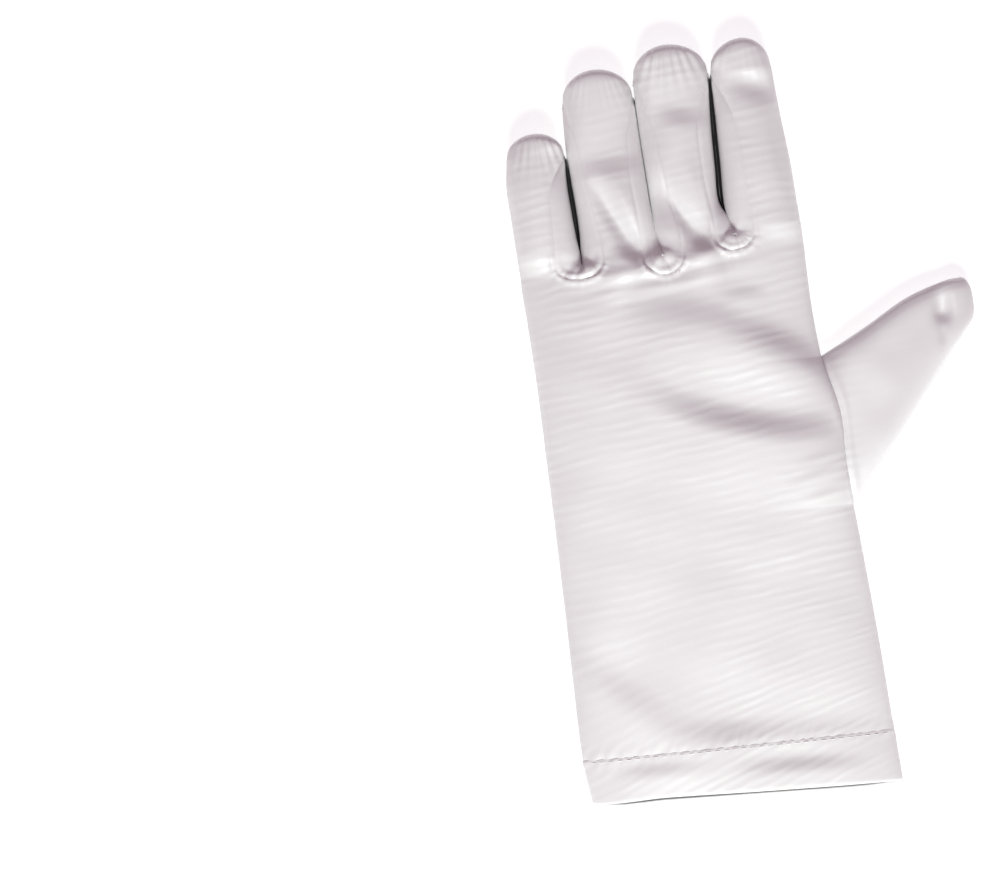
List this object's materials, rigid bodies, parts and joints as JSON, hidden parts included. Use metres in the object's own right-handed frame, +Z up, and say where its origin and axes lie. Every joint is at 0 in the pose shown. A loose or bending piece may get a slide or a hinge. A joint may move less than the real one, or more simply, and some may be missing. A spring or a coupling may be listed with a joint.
{
  "type": "satin dress glove",
  "caption": "Short satin dress glove for the left hand, empty and lying palm down, with sewn side strips between the fingers, a set-in thumb and a hemmed open cuff.",
  "frame": {"origin": "on the surface the glove lies on, at the middle of the palm's flat underside", "axes": "+Y from the cuff to the fingertips, +X towards the thumb, +Z up out of the back of the hand"},
  "size_m": [0.1382, 0.2312, 0.0149],
  "materials": {
    "satin": "white stretch satin with a cool mauve shade, soft broad gloss and a very fine rib",
    "satin_strip": "the same white satin in narrow strips, puckered along their seams",
    "satin_hem": "the same white satin turned up double, with one row of stitches along its top"
  },
  "bodies": {
    "root": {"back_panel": "satin", "palm_panel": "satin", "fourchette_little_ring": "satin_strip", "fourchette_ring_middle": "satin_strip", "fourchette_middle_index": "satin_strip", "thumb": "satin", "cuff_hem": "satin_hem"}
  },
  "joints": []
}
